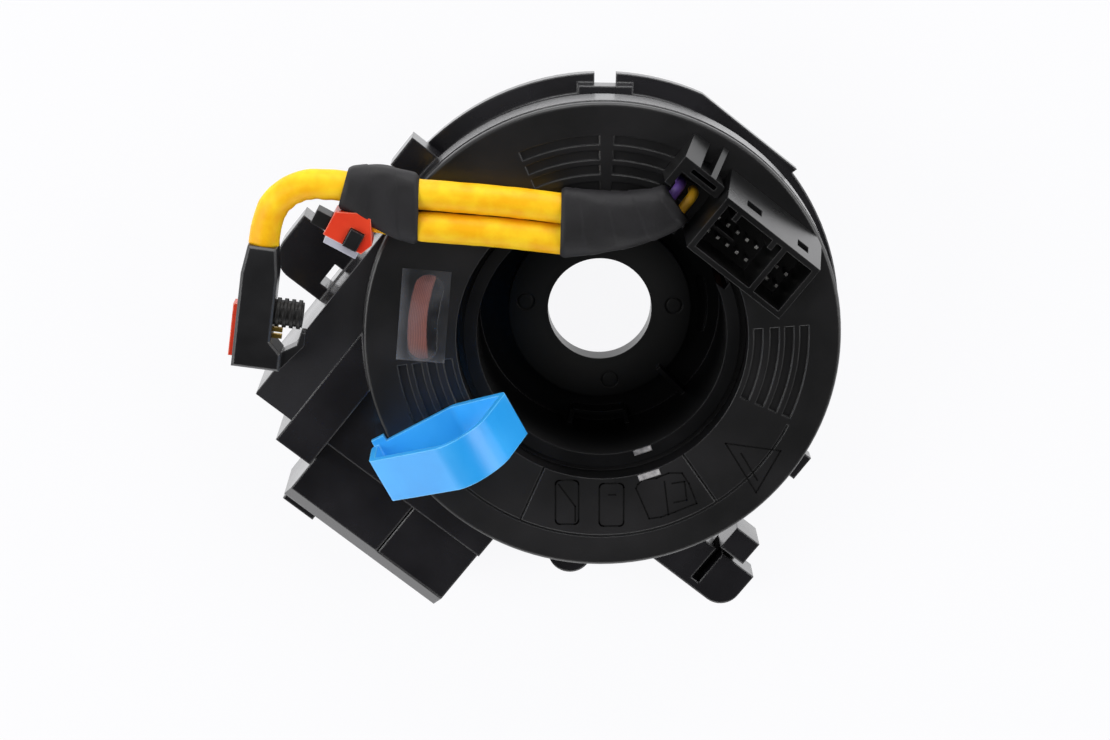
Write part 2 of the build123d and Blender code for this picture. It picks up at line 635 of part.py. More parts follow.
# ---- stator ---------------------------------------------------------------------------------------
def housing_outline(inset):
    """Outline of the two tall side housings, drawn in by a wall."""
    return [
        (SIDE_X + inset, 0), (SIDE_X + inset, SIDE_END_Y + inset),
        (SIDE_SPLIT_X + inset, SIDE_END_Y + inset),
        (SIDE_SPLIT_X + inset, SIDE2_END_Y + inset), (SIDE2_X_END - inset, SIDE2_END_Y + inset),
        (SIDE2_X_END - inset, 0),
    ]


def make_ear(x_root, x_tip, y0, y1, rounding):
    """Fixing ear with its outer corner rounded off."""
    ear = block(x_root, x_tip, y0, y1, EAR_TOP_Z - EAR_T, EAR_TOP_Z)
    low_edges = ear.edges().filter_by(Axis.Z).group_by(Axis.Y)[0]
    return fillet(low_edges.sort_by(lambda e: abs(e.center().X))[-1], rounding)


def make_fixing_ears():
    """Both ears, hollow underneath, with their bracket slots and the locating post."""
    under_z = EAR_TOP_Z - EAR_T
    right_root = sqrt(BODY_R ** 2 - EAR_R_Y0 ** 2)
    right = make_ear(right_root, EAR_R_X, EAR_R_Y0, EAR_R_Y1, EAR_ROUND)
    right_pocket_x = SLOT_R_X + SLOT_W / 2 + EAR_WALL
    right -= make_ear(right_pocket_x, EAR_R_X - EAR_WALL, EAR_R_Y0 + EAR_WALL, EAR_R_Y1 - EAR_WALL,
                      EAR_ROUND - EAR_WALL).moved(Pos(0, 0, -EAR_WALL))
    slot_y1 = EAR_R_Y0 + EAR_WALL + SLOT_R_L
    right -= block(SLOT_R_X - SLOT_W / 2, SLOT_R_X + SLOT_W / 2, slot_y1 - SLOT_R_L, slot_y1,
                   EAR_TOP_Z - SLOT_R_DEEP, EAR_TOP_Z)
    post_x0 = POST_X - POST_W / 2
    right += block(post_x0, post_x0 + POST_W, POST_Y0, POST_Y1, under_z, POST_TOP_Z)
    right += block(post_x0, post_x0 + POST_W, EAR_R_Y1, POST_Y0, under_z, POST_WEB_Z)
    left = make_ear(SIDE_X, EAR_L_X, EAR_L_Y0, EAR_L_Y1, EAR_L_ROUND)
    left_pocket_x = SLOT_L_X - SLOT_W / 2 - EAR_WALL
    left -= make_ear(left_pocket_x, EAR_L_X + EAR_WALL, EAR_L_Y0 + EAR_WALL, EAR_L_Y1 - EAR_WALL,
                     EAR_L_ROUND - EAR_WALL).moved(Pos(0, 0, -EAR_WALL))
    left -= block(SLOT_L_X - SLOT_W / 2, SLOT_L_X + SLOT_W / 2, SLOT_L_Y0, SLOT_L_Y0 + SLOT_L_L,
                  under_z, EAR_TOP_Z)
    return right, left


def make_stator_case():
    """Drum with band, flange, clips, side housings and both fixing ears in one moulding."""
    outline = [
        (CASE_IN_R, CASE_TOP_Z), (BAND_R, CASE_TOP_Z), (BAND_R, CASE_TOP_Z - BAND_H),
        (BODY_R, CASE_TOP_Z - BAND_H - CASE_WALL / 2), (BODY_R, FLANGE_Z + FLANGE_T),
        (FLANGE_R, FLANGE_Z + FLANGE_T), (FLANGE_R, FLANGE_Z), (BODY_R, FLANGE_Z), (BODY_R, BACK_T),
        (CASE_IN_R, BACK_T),
    ]
    case = revolve(Plane.XZ * make_face(Polyline(*outline, close=True)), axis=Axis.Z)
    roof_z = SIDE_TOP_Z - COVER_PLATE_T
    housing = prism(housing_outline(0), BACK_T, SIDE_TOP_Z)
    housing += block(SIDE2_X_END, CONN_X1, CONN_Y0, 0, BACK_T, SHELF_TOP_Z)
    housing -= prism(housing_outline(SIDE_WALL), BACK_T, roof_z - SIDE_WALL)
    housing -= block(SIDE2_X_END + SIDE_WALL, CONN_X1 - SIDE_WALL, CONN_Y0 + SIDE_WALL, 0, BACK_T,
                     SHELF_TOP_Z - SIDE_WALL)
    housing -= prism(cover_outline(), roof_z, SIDE_TOP_Z)
    case += housing - disc((CASE_IN_R + BODY_R) / 2, 0, SIDE_TOP_Z)
    top_z = FLANGE_Z + CLIP_H
    root_r = CASE_IN_R + CASE_WALL / 2
    case += radial_bar(CLIP_ANGLE, root_r, BODY_R + CLIP_OUT, CLIP_W, FLANGE_Z, top_z)
    boss = extrude(Circle(BOSS_R), CLIP_H)
    case += Pos(*polar(BODY_R + BOSS_OUT, BOSS_ANGLE), FLANGE_Z) * boss
    wide_r = FLANGE_R + FLANGE_WIDE
    case += arc_groove((root_r + wide_r) / 2, wide_r - root_r, *FLANGE_WIDE_SPAN, FLANGE_Z,
                       FLANGE_Z + FLANGE_T)
    case -= block(-BODY_R, BODY_R, BODY_R + FLANGE_FLAT, BODY_R + CLIP_OUT, FLANGE_Z, FLANGE_Z + FLANGE_T)
    notch_r = wide_r - NOTCH_DEPTH
    latch_top = FLANGE_Z + FLANGE_T + CLIP_H
    case += radial_bar(NOTCH_ANGLE, root_r, notch_r, LATCH_W, FLANGE_Z, latch_top)
    case -= radial_bar(NOTCH_ANGLE, notch_r - LATCH_T, BODY_R + CLIP_OUT, NOTCH_W, FLANGE_Z,
                       FLANGE_Z + FLANGE_T)
    case += block(SIDE_BLOCK_X, -CASE_IN_R - CASE_WALL / 2, SIDE_BLOCK_Y - SIDE_BLOCK_W / 2,
                  SIDE_BLOCK_Y + SIDE_BLOCK_W / 2, SIDE_BLOCK_Z, SIDE_BLOCK_Z + SIDE_BLOCK_H)
    for ear in make_fixing_ears():
        case += ear
    return case - disc(CASE_IN_R, 0, FACE_Z)


def cover_outline():
    """Outline of the plate that closes the first side housing."""
    return [(SIDE_X, 0), (SIDE_X, SIDE_END_Y), (SIDE_SPLIT_X, SIDE_END_Y), (SIDE_SPLIT_X, 0)]


def make_side_cover():
    """Flush plate on the first side housing."""
    plate = prism(cover_outline(), SIDE_TOP_Z - COVER_PLATE_T, SIDE_TOP_Z)
    return plate - disc(BAND_R, 0, FACE_Z)


def make_back_cover():
    """Flat back with the raised lip that the rotor turns in."""
    cover = disc(BODY_R, 0, BACK_T) + prism(housing_outline(0), 0, BACK_T)
    cover += block(SIDE2_X_END, CONN_X1, CONN_Y0, 0, 0, BACK_T)
    cover -= disc(HUB_OUT_R + SNAP_LIP + GAP, 0, BACK_T)
    lip_r = HUB_OUT_R + JOURNAL_GAP
    return cover + tube(lip_r + BACK_LIP_W, lip_r, BACK_T, BACK_LIP_TOP_Z)


def make_flat_cable_coil():
    """The wound flat cable as one solid ring."""
    return tube(CASE_IN_R - COIL_GAP, COIL_R_IN, BACK_T + COIL_GAP, FACE_UNDER_Z - COIL_TOP_DROP)


def connector_cavities():
    """X range of each cavity of the vehicle connector."""
    middle = CAP_X0 - CONN_RIB
    return ((CONN_X0 + CONN_WALL, middle), (middle + CONN_RIB, CONN_X1 - CONN_WALL))


def make_vehicle_connector():
    """Vehicle-side housing with a bevelled top, two cavities open at the back and a foot."""
    bevel_y = CONN_Y1 - CONN_CHAMFER
    side = Polyline((CONN_Y0, CONN_BASE_Z), (CONN_Y0, CONN_TOP_Z), (CONN_Y1, CONN_TOP_Z),
                    (bevel_y, CONN_TOP_Z - CONN_CHAMFER), (bevel_y, CONN_BASE_Z), close=True)
    housing = Pos(CONN_X0, 0, 0) * extrude(Plane.YZ * make_face(side), CONN_X1 - CONN_X0)
    housing -= block(CAP_X0, CONN_X1, CONN_Y1, CONN_Y0, CONN_TOP_Z - CAP_T, CONN_TOP_Z)
    roof_z = CONN_TOP_Z - CAP_T - CONN_ROOF_T
    for x0, x1 in connector_cavities():
        housing -= block(x0, x1, bevel_y + CONN_WALL, CONN_Y0 - CONN_WALL, CONN_BASE_Z, roof_z)
    foot_y = bevel_y - FOOT_OUT
    housing += block(FOOT_X0, FOOT_X0 + FOOT_W, foot_y, bevel_y, FOOT_Z, FOOT_Z + FOOT_T)
    groove_y = foot_y + FOOT_OUT / 3
    return housing - block(FOOT_X0, FOOT_X0 + FOOT_W, groove_y, groove_y + FOOT_GROOVE,
                           FOOT_Z + FOOT_T - FOOT_GROOVE, FOOT_Z + FOOT_T)


def make_connector_cap():
    """Flush cap over the contacts of the second cavity."""
    return block(CAP_X0 + CAP_SEAM, CONN_X1, CONN_Y1, CONN_Y0 - CAP_SEAM, CONN_TOP_Z - CAP_T, CONN_TOP_Z)


def make_vehicle_pins():
    """Contact pins that hang from the roof of both cavities."""
    roof_z = CONN_TOP_Z - CAP_T - CONN_ROOF_T
    middle_y = (CONN_Y0 + CONN_Y1 - CONN_CHAMFER) / 2
    rows = (middle_y - VEHICLE_ROW_GAP / 2, middle_y + VEHICLE_ROW_GAP / 2)
    pins = []
    for x0, x1 in connector_cavities():
        x_first = (x0 + x1 - (VEHICLE_PIN_COUNT - 1) * PIN_PITCH) / 2
        pins += pin_rows(x_first, rows, VEHICLE_PIN_COUNT, roof_z - PIN_LENGTH, PIN_LENGTH)
    return pins


def build():
    """Every node of the clock spring by name."""
    tube_a = lead(TUBE_A_ROUTE, TUBE_D)
    tube_b = lead(TUBE_B_ROUTE, TUBE_D)
    bores = [lead(route, TUBE_D + 2 * LEAD_GAP) for route in (TUBE_A_ROUTE, TUBE_B_ROUTE)]
    bores += [make_wire(x, WIRE_D + 2 * LEAD_GAP) for x in WIRE_XS]
    sleeve_1, sleeve_2 = make_sleeves(bores, plug_2_notch())
    pin_z = FACE_Z + SW_FLOOR
    nodes = {
        "stator_case": make_stator_case(),
        "back_cover": make_back_cover(),
        "side_cover": make_side_cover(),
        "vehicle_connector": make_vehicle_connector(),
        "connector_cap": make_connector_cap(),
        "vehicle_pins": Compound(make_vehicle_pins()),
        "flat_cable_coil": make_flat_cable_coil(),
        "rotor_cover": make_rotor_cover(),
        "rotor_hub": make_rotor_hub(),
        "window_label": make_window_label(),
        "switch_connector": make_switch_connector(),
        "switch_pins": Compound(pin_rows(SW_PIN_X, SW_PIN_ROWS, SW_PIN_COUNT, pin_z, SW_PIN_LENGTH)),
        "horn_pins": Compound(pin_rows(HORN_PIN_X, HORN_PIN_ROWS, HORN_PIN_COUNT, pin_z, SW_PIN_LENGTH)),
        "cable_guide": make_cable_guide(),
        "signal_wire_violet": make_wire(WIRE_XS[0], WIRE_D),
        "signal_wire_yellow": make_wire(WIRE_XS[1], WIRE_D),
        "airbag_tube_a": tube_a,
        "airbag_tube_b": tube_b,
        "lead_sleeve_1": sleeve_1,
        "lead_sleeve_2": sleeve_2,
        "transit_lock": make_transit_lock(),
    }
    nodes.update(make_plug_1())
    nodes.update(make_plug_2())
    return nodes


os.makedirs("parts", exist_ok=True)
for node, solid in build().items():
    export_step(solid, "parts/" + node + ".step")
for label, tube_route in (("tube A", TUBE_A_ROUTE), ("tube B", TUBE_B_ROUTE)):
    print(label, "bend radii", [round(radius, 1) for radius in bend_radii(tube_route)])
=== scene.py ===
from math import copysign, cos, pi, radians, sin

import bpy
from mathutils import Matrix, Vector, noise


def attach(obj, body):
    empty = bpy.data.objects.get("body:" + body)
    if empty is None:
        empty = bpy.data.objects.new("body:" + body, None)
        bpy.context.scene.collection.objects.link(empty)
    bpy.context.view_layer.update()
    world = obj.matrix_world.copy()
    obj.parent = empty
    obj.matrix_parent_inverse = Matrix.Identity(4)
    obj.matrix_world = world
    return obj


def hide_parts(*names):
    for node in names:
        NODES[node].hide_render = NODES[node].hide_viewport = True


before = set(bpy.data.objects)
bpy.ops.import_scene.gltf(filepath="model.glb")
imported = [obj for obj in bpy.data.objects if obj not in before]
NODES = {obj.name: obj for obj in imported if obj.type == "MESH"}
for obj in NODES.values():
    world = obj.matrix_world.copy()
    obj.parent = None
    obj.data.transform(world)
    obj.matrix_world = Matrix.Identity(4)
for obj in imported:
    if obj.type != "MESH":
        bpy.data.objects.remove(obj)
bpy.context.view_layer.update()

MM = 0.001
UP = Vector((0, 0, 1))


def top_of(name):
    """Height of a solid's top above the back, in mm."""
    return max(vertex.co.z for vertex in NODES[name].data.vertices) / MM


def middle_of(name):
    """Flat middle of a solid's box, in mm."""
    corners = [vertex.co.xy for vertex in NODES[name].data.vertices]
    low = Vector([min(values) for values in zip(*corners)])
    high = Vector([max(values) for values in zip(*corners)])
    return (low + high) / 2 / MM


def around_axis(radius, angle):
    """Flat point at a radius in mm and an angle in degrees about the steering axis."""
    return Vector((radius * cos(radians(angle)), radius * sin(radians(angle))))


FACE_Z = top_of("rotor_cover")
RING_Z = top_of("rotor_hub")
PIN_Z = top_of("switch_pins")


# ---- camera ---------------------------------------------------------------------------------------
VIEW_W = 1110                # width and height of the view in pixels
VIEW_H = 740
FOCAL_PX = 2658.0            # focal length in the same pixels
SENSOR_W = 36.0
CAMERA_DISTANCE = 0.6        # from the point where the steering axis meets the rotor face, metres
CAMERA_TILT = radians(15.8)  # of the view off the steering axis, towards the view's top
CAMERA_PAN = radians(-0.21)
CAMERA_ROLL = radians(38.5)  # of the object about the steering axis in the view
AXIS_PX = (602.14, 339.67)   # pixel where the axis meets the rotor face


def make_camera():
    """Camera that sees the steering axis at AXIS_PX, tilted off it and turned about it."""
    flat = cos(CAMERA_TILT)
    back = Vector((sin(CAMERA_PAN) * flat, sin(CAMERA_TILT), cos(CAMERA_PAN) * flat))
    right = Vector((0, 1, 0)).cross(back).normalized()
    up = back.cross(right)
    across = (AXIS_PX[0] - VIEW_W / 2) / FOCAL_PX * CAMERA_DISTANCE
    above = (VIEW_H / 2 - AXIS_PX[1]) / FOCAL_PX * CAMERA_DISTANCE
    place = back * CAMERA_DISTANCE - right * across - up * above
    turn = Matrix.Rotation(CAMERA_ROLL, 3, "Z")
    axes = (turn @ right, turn @ up, turn @ back)
    pose = Matrix([[axis[row] for axis in axes] for row in range(3)]).to_4x4()
    pose.translation = turn @ place + Vector((0, 0, FACE_Z * MM))
    data = bpy.data.cameras.new("camera")
    data.sensor_width = SENSOR_W
    data.lens = FOCAL_PX / VIEW_W * SENSOR_W
    camera = bpy.data.objects.new("camera", data)
    bpy.context.collection.objects.link(camera)
    camera.matrix_world = pose
    bpy.context.scene.camera = camera


make_camera()


# ---- node helpers -----------------------------------------------------------------------------------
def new_group(name, inputs, outputs):
    """Empty shader node group with named sockets."""
    group = bpy.data.node_groups.new(name, "ShaderNodeTree")
    for label, kind, value in inputs:
        socket = group.interface.new_socket(label, in_out="INPUT", socket_type="NodeSocket" + kind)
        socket.default_value = value
    for label, kind in outputs:
        group.interface.new_socket(label, in_out="OUTPUT", socket_type="NodeSocket" + kind)
    return group, group.nodes.new("NodeGroupInput"), group.nodes.new("NodeGroupOutput")


def add_range(tree, source, low, high, to_low=0.0, to_high=1.0):
    """Map a value from one range to another and clamp it."""
    node = tree.nodes.new("ShaderNodeMapRange")
    tree.links.new(source, node.inputs["Value"])
    node.inputs["From Min"].default_value = low
    node.inputs["From Max"].default_value = high
    node.inputs["To Min"].default_value = to_low
    node.inputs["To Max"].default_value = to_high
    return node


def add_maths(tree, operation, first, second):
    """Socket with the result of a sum on a socket and another socket or a number."""
    node = tree.nodes.new("ShaderNodeMath")
    node.operation = operation
    tree.links.new(first, node.inputs[0])
    if isinstance(second, float):
        node.inputs[1].default_value = second
    else:
        tree.links.new(second, node.inputs[1])
    return node.outputs["Value"]


def add_noise(tree, place, scale=1.0, detail=3.0):
    """Noise texture on the given coordinates."""
    node = tree.nodes.new("ShaderNodeTexNoise")
    node.inputs["Scale"].default_value = scale
    node.inputs["Detail"].default_value = detail
    tree.links.new(place, node.inputs["Vector"])
    return node


def add_mix(tree, share, first, second):
    """Blend of two colours by a value; first and second are colours or sockets."""
    mix = tree.nodes.new("ShaderNodeMix")
    mix.data_type = "RGBA"
    tree.links.new(share, mix.inputs["Factor"])
    for socket, value in ((mix.inputs["A"], first), (mix.inputs["B"], second)):
        if isinstance(value, tuple):
            socket.default_value = value
        else:
            tree.links.new(value, socket)
    return mix.outputs["Result"]


def add_height(tree):
    """Socket with the height above the back, in metres."""
    place = tree.nodes.new("ShaderNodeTexCoord").outputs["Object"]
    split = tree.nodes.new("ShaderNodeSeparateXYZ")
    tree.links.new(place, split.inputs["Vector"])
    return split.outputs["Z"]


# ---- shader groups ----------------------------------------------------------------------------------
GRAIN_SIZE = 2600.0          # grains and soft patches to the metre
PATCH_SIZE = 55.0
PATCH_DETAIL = 4.0
PATCH_ROUGH = (0.3, 0.7)     # part of the patches' noise that spans the roughness, and the tone
PATCH_TONE = (0.35, 0.65)
GRAIN_HEIGHT = 0.00006       # metres
EDGE_RADIUS = 0.0004
EDGE_SAMPLES = 6
EDGE_TURN = (0.995, 0.9)     # agreement of rounded and flat normal where an edge starts and is full


def make_moulded_surface():
    """Fine spark-eroded grain with soft flow patches: tone, roughness, normal and edge mask."""
    group, given, result = new_group(
        "moulded_surface",
        [("Grain Size", "Float", GRAIN_SIZE), ("Grain Depth", "Float", 0.3),
         ("Edge Radius", "Float", EDGE_RADIUS), ("Patch Size", "Float", PATCH_SIZE),
         ("Roughness Low", "Float", 0.35), ("Roughness High", "Float", 0.5)],
        [("Tone", "Float"), ("Roughness", "Float"), ("Normal", "Vector"), ("Edge", "Float")])
    links = group.links
    place = group.nodes.new("ShaderNodeTexCoord").outputs["Object"]
    grain = add_noise(group, place)
    links.new(given.outputs["Grain Size"], grain.inputs["Scale"])
    patches = add_noise(group, place, detail=PATCH_DETAIL)
    links.new(given.outputs["Patch Size"], patches.inputs["Scale"])
    spread = add_range(group, patches.outputs["Fac"], *PATCH_ROUGH)
    links.new(given.outputs["Roughness Low"], spread.inputs["To Min"])
    links.new(given.outputs["Roughness High"], spread.inputs["To Max"])
    rounded = group.nodes.new("ShaderNodeBevel")
    rounded.samples = EDGE_SAMPLES
    links.new(given.outputs["Edge Radius"], rounded.inputs["Radius"])
    bump = group.nodes.new("ShaderNodeBump")
    bump.inputs["Distance"].default_value = GRAIN_HEIGHT
    links.new(given.outputs["Grain Depth"], bump.inputs["Strength"])
    links.new(grain.outputs["Fac"], bump.inputs["Height"])
    links.new(rounded.outputs["Normal"], bump.inputs["Normal"])
    shape = group.nodes.new("ShaderNodeNewGeometry")
    agree = group.nodes.new("ShaderNodeVectorMath")
    agree.operation = "DOT_PRODUCT"
    links.new(shape.outputs["Normal"], agree.inputs[0])
    links.new(rounded.outputs["Normal"], agree.inputs[1])
    edge = add_range(group, agree.outputs["Value"], *EDGE_TURN)
    tone = add_range(group, patches.outputs["Fac"], *PATCH_TONE)
    links.new(tone.outputs["Result"], result.inputs["Tone"])
    links.new(spread.outputs["Result"], result.inputs["Roughness"])
    links.new(bump.outputs["Normal"], result.inputs["Normal"])
    links.new(edge.outputs["Result"], result.inputs["Edge"])
    return group


def make_axis_distance():
    """Distance from the steering axis, in metres."""
    group, _, result = new_group("axis_distance", [], [("Distance", "Float")])
    links = group.links
    place = group.nodes.new("ShaderNodeTexCoord").outputs["Object"]
    flat = group.nodes.new("ShaderNodeVectorMath")
    flat.operation = "MULTIPLY"
    flat.inputs[1].default_value = (1, 1, 0)
    links.new(place, flat.inputs[0])
    distance = group.nodes.new("ShaderNodeVectorMath")
    distance.operation = "LENGTH"
    links.new(flat.outputs["Vector"], distance.inputs[0])
    links.new(distance.outputs["Value"], result.inputs["Distance"])
    return group


MOULDED = make_moulded_surface()
AXIS_DISTANCE = make_axis_distance()


def add_axis_distance(tree):
    """Socket with the distance from the steering axis."""
    node = tree.nodes.new("ShaderNodeGroup")
    node.node_tree = AXIS_DISTANCE
    return node.outputs["Distance"]


# ---- kinds of finish --------------------------------------------------------------------------------
def srgb(red, green, blue):
    """Linear colour from 0-255 screen values."""
    linear = []
    for value in (red, green, blue):
        share = value / 255
        linear.append(share / 12.92 if share <= 0.04045 else ((share + 0.055) / 1.055) ** 2.4)
    return (*linear, 1.0)


def start_material(name):
    """Material with a principled shader: its node tree and that shader."""
    material = bpy.data.materials.new(name)
    material.use_nodes = True
    return material, material.node_tree, material.node_tree.nodes["Principled BSDF"]


def moulded_plastic(name, deep, pale, rough, grain_depth=0.2, grain_size=GRAIN_SIZE,
                    patch_size=PATCH_SIZE, edge_radius=EDGE_RADIUS, specular=0.6, edge_tone=None):
    """Injection-moulded plastic: grain, soft patches and another tone along its edges, which is a painted
    highlight where it is paler than the patches.

    deep and pale are the colours of its patches, and rough is its range of roughness."""
    material, tree, shader = start_material(name)
    surface = tree.nodes.new("ShaderNodeGroup")
    surface.node_tree = MOULDED
    for label, value in (("Grain Size", grain_size), ("Grain Depth", grain_depth),
                         ("Edge Radius", edge_radius), ("Patch Size", patch_size),
                         ("Roughness Low", rough[0]), ("Roughness High", rough[1])):
        surface.inputs[label].default_value = value
    tone = add_mix(tree, surface.outputs["Tone"], deep, pale)
    # Painted highlight along the edges, where the edge tone is paler than the plastic.
    edge_toned = add_mix(tree, surface.outputs["Edge"], tone, edge_tone or pale)
    tree.links.new(edge_toned, shader.inputs["Base Color"])
    tree.links.new(surface.outputs["Roughness"], shader.inputs["Roughness"])
    tree.links.new(surface.outputs["Normal"], shader.inputs["Normal"])
    shader.inputs["Specular IOR Level"].default_value = specular
    return material


def blend_base(material, share, other):
    """Blend a plastic's base colour with another colour: the share goes to its own."""
    tree = material.node_tree
    base = tree.nodes["Principled BSDF"].inputs["Base Color"]
    own = base.links[0].from_socket
    tree.links.new(add_mix(tree, share, other, own), base)


PIN_HIGHLIGHT = ((PIN_Z - 0.5) * MM, (PIN_Z - 0.3) * MM)           # height where the painted highlight on the pins' tips starts
PIN_EDGE = 0.0001
CONTACT_EDGE = 0.00025


def pins_with_painted_light(name, shank_shade, tip_highlight):
    """Contact pins deep in a cavity: painted shade on their shanks and a painted highlight on their tips.
    """
    material = moulded_plastic(name, shank_shade, shank_shade, (0.35, 0.45), 0.1, edge_radius=PIN_EDGE)
    tree = material.node_tree
    below = add_range(tree, add_height(tree), *PIN_HIGHLIGHT, 1.0, 0.0)
    blend_base(material, below.outputs["Result"], tip_highlight)
    return material


def bare_metal(name, colour, rough):
    """Plated or bare metal of small contacts."""
    material = moulded_plastic(name, colour, colour, rough, 0.15, edge_radius=CONTACT_EDGE)
    material.node_tree.nodes["Principled BSDF"].inputs["Metallic"].default_value = 1.0
    return material


TURNS_PER_METRE = 2600.0           # of the wound cable, outwards
TURN_SEAM = (0.0, 0.3)             # share of a turn over which its dark line fades


def wound_cable(name, deep, pale, seam):
    """Edges of the wound flat cable: pale turns with dark lines between them."""
    material = moulded_plastic(name, deep, pale, (0.45, 0.6), 0.3)
    tree = material.node_tree
    turns = add_maths(tree, "MULTIPLY", add_axis_distance(tree), TURNS_PER_METRE)
    wave = add_maths(tree, "PINGPONG", turns, 0.5)
    line = add_range(tree, wave, *TURN_SEAM)
    blend_base(material, line.outputs["Result"], seam)
    return material


RING_START = ((RING_Z - 1.0) * MM, (RING_Z - 0.5) * MM)      # height where the dish's painted shade gives way to the ring's own tone
PLATEAU_LIGHT_FADE = (0.014, 0.023)      # from the steering axis, where the painted light on the plateau fades out


def dished_plastic(name, deep, pale, shade, plateau_light, edge_tone):
    """The hub's plastic: painted shade in the dish below its ring, and a painted light on the plateau
    round the bore.
    """
    material = moulded_plastic(name, deep, pale, (0.3, 0.38), 0.3, specular=0.2, edge_tone=edge_tone)
    tree = material.node_tree
    ring = add_range(tree, add_height(tree), *RING_START)
    blend_base(material, ring.outputs["Result"], shade)
    beyond = add_range(tree, add_axis_distance(tree), *PLATEAU_LIGHT_FADE)
    blend_base(material, beyond.outputs["Result"], plateau_light)
    return material


LABEL_CENTRE = (*(middle_of("window_label") * MM), FACE_Z * MM)
LABEL_TURN = -56.5                 # of the label's long side, degrees
FILM_PATCH_SIZE = 90.0             # patches to the metre
FILM_MILKY = (0.38, 0.62)          # part of their noise that spans the film's density
FILM_ROUGH = (0.3, 0.45)
LIFTED_SIDE = (-0.0035, -0.0053)   # across the film, from where it starts to lift to its edge
LIFTED_END = (0.0075, 0.0105)      # and the same along it
LIFTED_DENSITY = 0.22


def label_film(name, clear, milky, deep, pale):
    """Clear film, unevenly milky, and denser along the side and the end where it has lifted."""
    material, tree, shader = start_material(name)
    place = tree.nodes.new("ShaderNodeTexCoord").outputs["Object"]
    turned = tree.nodes.new("ShaderNodeMapping")
    turned.vector_type = "TEXTURE"
    turned.inputs["Location"].default_value = LABEL_CENTRE
    turned.inputs["Rotation"].default_value = (0, 0, radians(LABEL_TURN))
    tree.links.new(place, turned.inputs["Vector"])
    split = tree.nodes.new("ShaderNodeSeparateXYZ")
    tree.links.new(turned.outputs["Vector"], split.inputs["Vector"])
    patches = add_noise(tree, turned.outputs["Vector"], FILM_PATCH_SIZE, 2.0)
    spread = add_range(tree, patches.outputs["Fac"], *FILM_MILKY, clear, milky)
    side = add_range(tree, split.outputs["Y"], *LIFTED_SIDE, 0.0, LIFTED_DENSITY)
    end = add_range(tree, split.outputs["X"], *LIFTED_END, 0.0, LIFTED_DENSITY)
    density = add_maths(tree, "ADD", spread.outputs["Result"], side.outputs["Result"])
    density = add_maths(tree, "ADD", density, end.outputs["Result"])
    tree.links.new(density, shader.inputs["Alpha"])
    gloss = add_range(tree, patches.outputs["Fac"], *PATCH_ROUGH, *FILM_ROUGH)
    tree.links.new(gloss.outputs["Result"], shader.inputs["Roughness"])
    tree.links.new(add_mix(tree, patches.outputs["Fac"], deep, pale), shader.inputs["Base Color"])
    return material


# ---- finishes of the pieces -------------------------------------------------------------------------
CASE_BLACK = moulded_plastic("case_black", srgb(20, 19, 22), srgb(28, 27, 31), (0.22, 0.3),
                             edge_radius=0.0007, specular=0.9, edge_tone=srgb(26, 25, 29))
ROTOR_BLACK = moulded_plastic("rotor_black", srgb(13, 13, 14), srgb(20, 19, 21), (0.34, 0.42), 0.3,
                              edge_tone=srgb(22, 22, 24))
# The hub: its dish gets painted shade, and its plateau round the bore a painted light.
HUB_BLACK = dished_plastic("hub_black", srgb(18, 18, 19), srgb(25, 25, 26), shade=srgb(4, 4, 5),
                           plateau_light=srgb(46, 46, 46), edge_tone=srgb(22, 22, 24))
CONNECTOR_BLACK = moulded_plastic("connector_black", srgb(7, 7, 8), srgb(12, 12, 13), (0.26, 0.34),
                                  edge_radius=0.0003, specular=0.7, edge_tone=srgb(16, 16, 18))
COVER_BLACK = moulded_plastic("cover_black", srgb(15, 14, 18), srgb(24, 23, 28), (0.55, 0.65), 0.5,
                              specular=0.4, edge_tone=srgb(28, 27, 31))
PLUG_BLACK = moulded_plastic("plug_black", srgb(17, 17, 18), srgb(26, 26, 28), (0.26, 0.38),
                             edge_tone=srgb(40, 40, 43))
NOSE_BLACK = moulded_plastic("nose_black", srgb(8, 8, 8), srgb(14, 13, 13), (0.4, 0.5), specular=0.35)
LOCK_BLUE = moulded_plastic("lock_blue", srgb(38, 156, 236), srgb(56, 172, 248), (0.3, 0.42),
                            grain_size=1800.0, edge_tone=srgb(112, 204, 255))
TUBE_YELLOW = moulded_plastic("tube_yellow", srgb(246, 178, 12), srgb(254, 208, 32), (0.42, 0.55), 0.6,
                              grain_size=1100.0, patch_size=190.0, specular=0.2)
CLIP_ORANGE = moulded_plastic("clip_orange", srgb(206, 40, 18), srgb(232, 70, 34), (0.3, 0.42),
                              edge_tone=srgb(246, 120, 88))
PLATE_PALE = moulded_plastic("plate_pale", srgb(150, 150, 162), srgb(196, 196, 208), (0.35, 0.5))
TAPE_BLACK = moulded_plastic("tape_black", srgb(22, 21, 23), srgb(29, 28, 31), (0.55, 0.72), 1.0,
                             grain_size=1500.0, patch_size=120.0, specular=0.35)
CABLE_SALMON = wound_cable("cable_salmon", srgb(214, 122, 104), srgb(240, 154, 134), srgb(176, 96, 84))
WIRE_VIOLET = moulded_plastic("wire_violet", srgb(98, 66, 150), srgb(128, 92, 186), (0.35, 0.5))
WIRE_YELLOW = moulded_plastic("wire_yellow", srgb(226, 160, 20), srgb(246, 190, 40), (0.35, 0.5))
# The pins' dark shanks are painted shade and their white tips a painted highlight.
PIN_SHADE_AND_HIGHLIGHT = pins_with_painted_light("pin_plated", srgb(30, 30, 31), srgb(250, 248, 244))
CONTACT_BRASS = bare_metal("contact_brass", srgb(226, 188, 92), (0.25, 0.4))
PAINT_WHITE = moulded_plastic("paint_white", srgb(112, 110, 112), srgb(186, 184, 184), (0.5, 0.7), 0.8,
                              grain_size=1800.0, patch_size=600.0, edge_tone=srgb(100, 98, 100))
MARK_BLACK = moulded_plastic("mark_black", srgb(2, 2, 2), srgb(4, 4, 4), (0.5, 0.6), specular=0.1)
LABEL_FILM = label_film("label_film", 0.05, 0.17, srgb(96, 98, 104), srgb(140, 142, 148))

